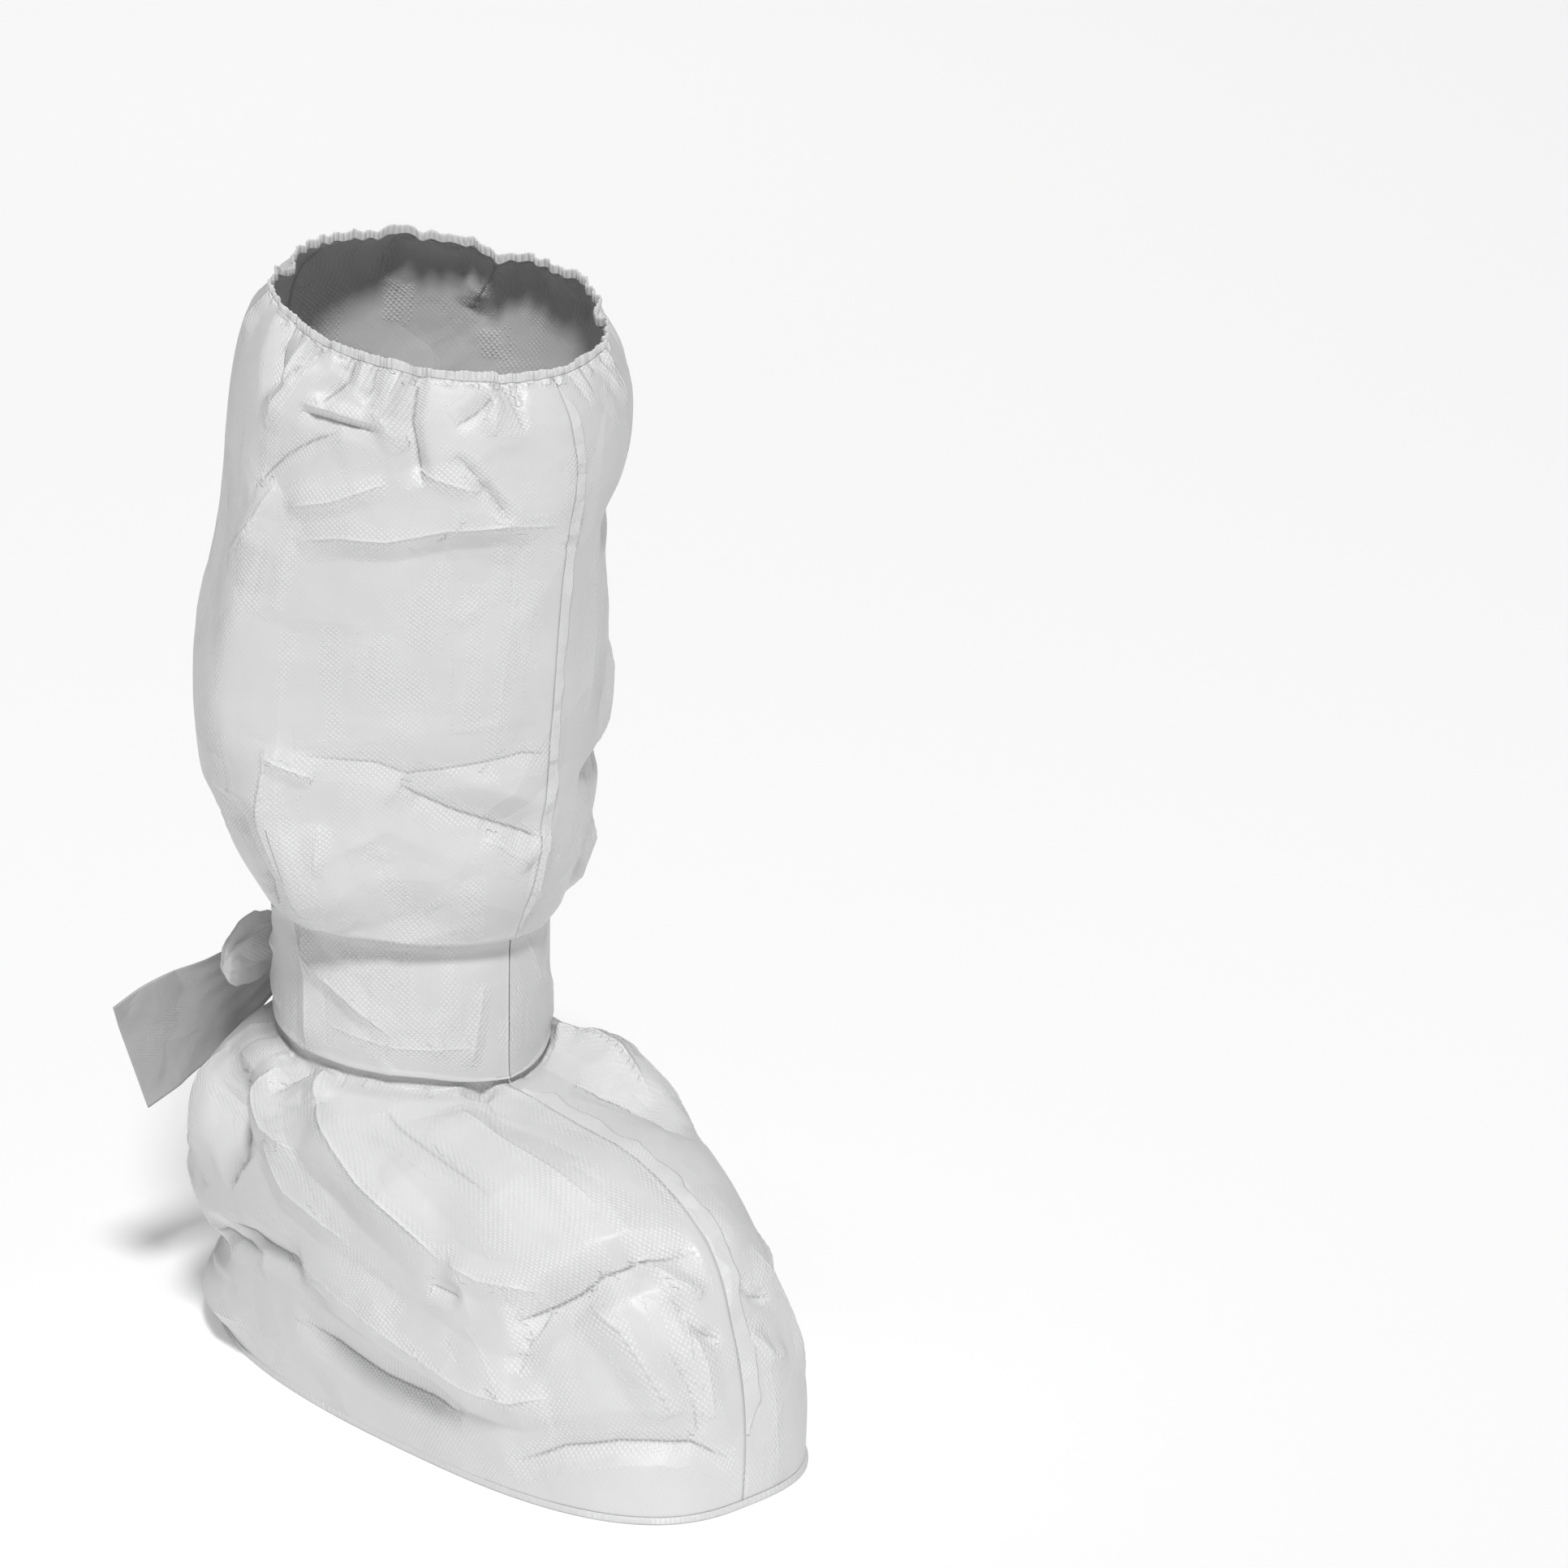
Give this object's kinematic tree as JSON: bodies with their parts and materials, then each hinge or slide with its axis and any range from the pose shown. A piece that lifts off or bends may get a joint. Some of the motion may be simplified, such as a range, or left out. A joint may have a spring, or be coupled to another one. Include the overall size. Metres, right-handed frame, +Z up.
{
  "type": "disposable boot cover",
  "caption": "Tall white disposable boot cover with gathered rim, front seam, flat sole panel and a wide ankle tie knotted at the back.",
  "frame": {"origin": "middle of the underside of the part's box, on the floor", "axes": "+Z up along the leg, toe towards -Y, the visible tail of the tie on the -X side"},
  "size_m": [0.182, 0.3228, 0.4709],
  "materials": {
    "shell": "satin laminated nonwoven",
    "seam": "satin laminated nonwoven",
    "hem": "gathered laminated nonwoven",
    "sole": "matt laminated nonwoven",
    "tie": "satin laminated nonwoven"
  },
  "bodies": {
    "root": {"leg_near": "shell", "leg_far": "shell", "foot_near": "shell", "foot_far": "shell", "leg_seam": "seam", "foot_seam": "seam", "elastic_hem": "hem", "sole_panel": "sole", "tie_near": "tie", "tie_far": "tie", "tie_knot": "tie", "tie_tail_near": "tie", "tie_tail_far": "tie"}
  },
  "joints": []
}
